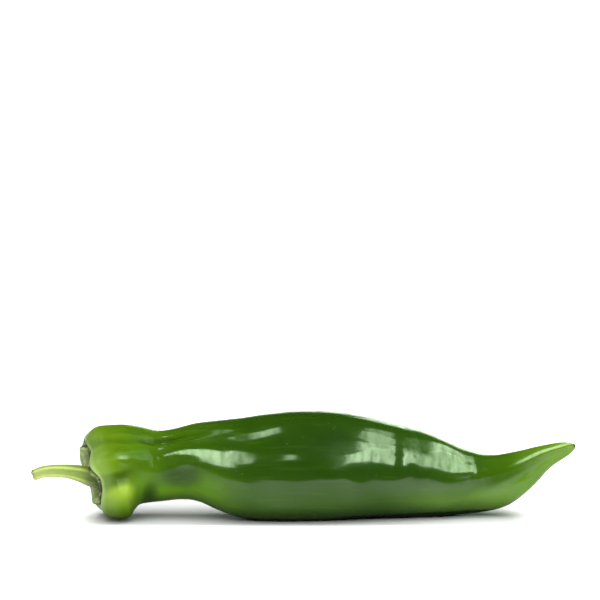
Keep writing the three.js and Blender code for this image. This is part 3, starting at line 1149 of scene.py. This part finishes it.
# The painted shade round the pepper: where its ends and front edge lie, and how fast it fades out beyond
# each
SHADE_LEFT, SHADE_RIGHT, SHADE_FRONT = (-62.0, 3.0), (60.0, 2.5), (-8.0, 4.0)
SHADE_BACK = 0.75  # how fast it fades out behind the pepper


def sheet_of_table(name, rectangles, finish):
    """A flat piece of table made of rectangles."""
    points, faces = [], []
    for x0, y0, x1, y1 in rectangles:
        faces.append(tuple(range(len(points), len(points) + 4)))
        points += [(x0, y0, TABLE_Z), (x1, y0, TABLE_Z), (x1, y1, TABLE_Z), (x0, y1, TABLE_Z)]
    mesh = bpy.data.meshes.new(name)
    mesh.from_pydata((np.array(points) * MM).tolist(), [], faces)
    mesh.materials.append(finish)
    obj = bpy.data.objects.new(name, mesh)
    scene.collection.objects.link(obj)
    return obj


def table_finish():
    """A matt white with a painted glow, which leaves a painted shade round the pepper."""
    material, start, shader = new_finish(
        "white table", Base_Color=(0.68, 0.68, 0.69, 1), Roughness=0.9,
        Specular_IOR_Level=0.1, Emission_Strength=1.0,
    )
    place = in_mm(start)
    x, y = place.part("X"), place.part("Y")
    (left, left_rate), (right, right_rate), (front, front_rate) = SHADE_LEFT, SHADE_RIGHT, SHADE_FRONT
    beside = (x.at_most(left) - left) * left_rate + (x.at_least(right) - right) * right_rate
    before = (y.at_most(front) - front) * front_rate + y.at_least(0.0) * SHADE_BACK
    level = place.node("ShaderNodeCombineXYZ", {}, {"X": beside, "Y": before})
    away = level.node("ShaderNodeVectorMath", {"operation": "LENGTH"}, {0: level}, "Value")
    glow = away.rise(14.0, 55.0, 0.0, 0.7) + away.rise(90.0, 350.0, 0.0, 0.4)
    feed(shader, Emission_Color=glow.mix((0, 0, 0, 1), (1, 1, 1, 1)))
    return material


white_table = table_finish()
sheet_of_table("near table", NEAR, white_table)
sheet_of_table("far table", REST, white_table).visible_glossy = False
areas = [sum((x1 - x0) * (y1 - y0) for x0, y0, x1, y1 in part) / 1e6 for part in (NEAR, REST)]
print("near and far table, square metres:", [round(area, 3) for area in areas])

# %% [markdown]
# ## The walls
#
# Behind the pepper stands a white wall, which draws the thin pale line along its top edge. The
# rest of the room is dark, so that the skin stays deep green between the highlights. The
# world's own shader paints both by direction. The camera sees it plain white from any side.

# %% Paint the walls
DARK = 0.015  # the rest of the room
PLAIN_WHITE = 1.1  # what the camera sees behind everything


def studio_world():
    """A wall by direction: towards +Y, and from the table up to about 20 degrees."""
    world = bpy.data.worlds.new("white studio")
    world.use_nodes = True
    scene.world = world
    tree = world.node_tree
    tree.nodes.clear()
    start = Wire(tree)
    towards = start.node("ShaderNodeTexCoord", {}, {}, "Generated")
    y, z = towards.part("Y"), towards.part("Z")
    mirrored = y.rise(0.3, 0.6) * z.between(-0.12, -0.04, 0.16, 0.40) + DARK
    seen = start.node("ShaderNodeLightPath", {}, {}, "Is Camera Ray")
    strength = mirrored + (PLAIN_WHITE - mirrored) * seen
    paint = start.node("ShaderNodeBackground", {}, {"Color": (1, 1, 1, 1), "Strength": strength})
    end = tree.nodes.new("ShaderNodeOutputWorld")
    tree.links.new(paint.socket, end.inputs["Surface"])


studio_world()
print("world:", scene.world.name)

# %% [markdown]
# ## Soft boxes
#
# The skin mirrors the lamps, so their shapes are what is seen as highlights. Each highlight comes
# from one direction, and a soft box stands there. A tall wide one stands beyond the blossom
# end, with an arc of others over it. Narrower ones stand to the left of the camera, and two
# at the back brighten the line that the wall draws along the top edge. The front ones begin
# at the pepper's own height, and that is why their highlights end on one line. All of these
# only show in the skin. Two large fills do the lighting, and aren't mirrored.

# %% Write the helpers for soft boxes
LEVEL = 0.018  # the height of the pepper's middle, in metres like all that follows
MIRRORED = (0.74, 1.0, 0.64)  # the boxes that only show in the skin have pale green cloths


def softbox(name, corner, across, upwards, radiance):
    """A lamp that fills the rectangle from a corner along two edges, and faces the pepper."""
    corner, across, upwards = Vector(corner), Vector(across), Vector(upwards)
    middle = corner + across / 2 + upwards / 2
    away = across.cross(upwards).normalized()
    if away.dot(middle) < 0:
        across, away = -across, -away
    lamp = bpy.data.lights.new(name, "AREA")
    lamp.shape = "RECTANGLE"
    lamp.size, lamp.size_y = across.length, upwards.length
    lamp.energy = radiance * 4 * lamp.size * lamp.size_y
    obj = bpy.data.objects.new(name, lamp)
    axes = Matrix([across.normalized(), away.cross(across).normalized(), away]).transposed()
    obj.matrix_world = Matrix.Translation(middle) @ axes.to_4x4()
    obj.visible_camera = False
    scene.collection.objects.link(obj)
    return obj


def upright(name, azimuths, elevations, distance, radiance):
    """A soft box on the circle round the pepper, between two azimuths and two elevations."""
    left, right = (math.radians(a) for a in azimuths)
    low, high = (distance * math.tan(math.radians(e)) + LEVEL for e in elevations)
    ends = [Vector((math.sin(a), -math.cos(a), 0)) * distance for a in (left, right)]
    return softbox(name, ends[0] + Vector((0, 0, low)), ends[1] - ends[0], (0, 0, high - low), radiance)


def arc_box(name, angle, length, radiance, plane=0.60, inner=0.78, outer=1.33):
    """One of the boxes that stand in an arc beyond the blossom end; the angle is its tilt from level."""
    a = math.radians(angle)
    outwards, onwards = Vector((0, -math.cos(a), math.sin(a))), Vector((0, math.sin(a), math.cos(a)))
    corner = Vector((plane, 0, LEVEL)) + outwards * inner - onwards * length / 2
    return softbox(name, corner, outwards * (outer - inner), onwards * length, radiance)


print("the highlights' line, mm above the table:", LEVEL / MM)

# %% [markdown]
# ## Hanging the lamps
#
# A box is placed by a corner and two edges, or by the directions that it fills as seen from the
# pepper. The last number is its brightness. The brightest ones stand where the skin is seen
# head-on and mirrors only a twentieth of the light. The back boxes can be weak, because at
# the edge the skin mirrors nearly all of it.

# %% Place the soft boxes
softbox("right tall box", (0.60, -1.33, LEVEL), (0, 0.50, 0), (0, 0, 0.60), 15.6)
arc_box("right second box", 45, 0.45, 12.0)
arc_box("right third box", 75, 0.50, 8.2)
arc_box("right fourth box", 99, 0.30, 4.2)
softbox("right low box", (0.60, -0.84, 0.10), (0, 0.50, 0), (0, 0, 0.46), 11.2)
softbox("right high box", (0.60, -0.34, 0.30), (0, 0.42, 0), (0, 0, 0.30), 9.4)
softbox("right upper box", (0.598, -0.26, 0.57), (0, 0.70, 0), (0, 0, 0.22), 8.5)
softbox("overhead box", (-0.42, -0.34, 1.0), (0.22, 0, 0), (0, 0.31, 0), 8.5)
softbox("overhead far box", (-0.46, 0.235, 1.0), (0.10, 0, 0), (0, 0.08, 0), 3.5)
upright("left softbox", (-46, -33), (-2, 23), 1.0, 13.5)
upright("left strip", (-33, -22), (8, 19), 1.0, 8.5)
upright("middle strip", (-7, 0), (5, 17), 1.0, 10.0)
softbox("back box", (-0.10, 1.0, 0.0), (1.1, 0, 0), (0, 0, 0.5), 1.6)
softbox("back right box", (0.22, 0.98, 0.0), (0.55, 0, 0), (0, 0, 0.74), 3.0)
# the boxes so far only show in the skin, and the two fills after them only light it
for obj in scene.objects:
    if obj.type == "LIGHT":
        obj.visible_diffuse = False
        obj.data.color = MIRRORED
softbox("ceiling fill", (-0.9, -0.9, 1.4), (1.8, 0, 0), (0, 1.8, 0), 3.0).visible_glossy = False
softbox("front fill", (-0.9, -1.2, 0.45), (1.8, 0, 0), (0, 0.15, 0.9), 2.6).visible_glossy = False
scene.view_settings.view_transform = "Standard"
scene.view_settings.look = "None"
print("lamps:", [light.name for light in bpy.data.lights])

# %% [markdown]
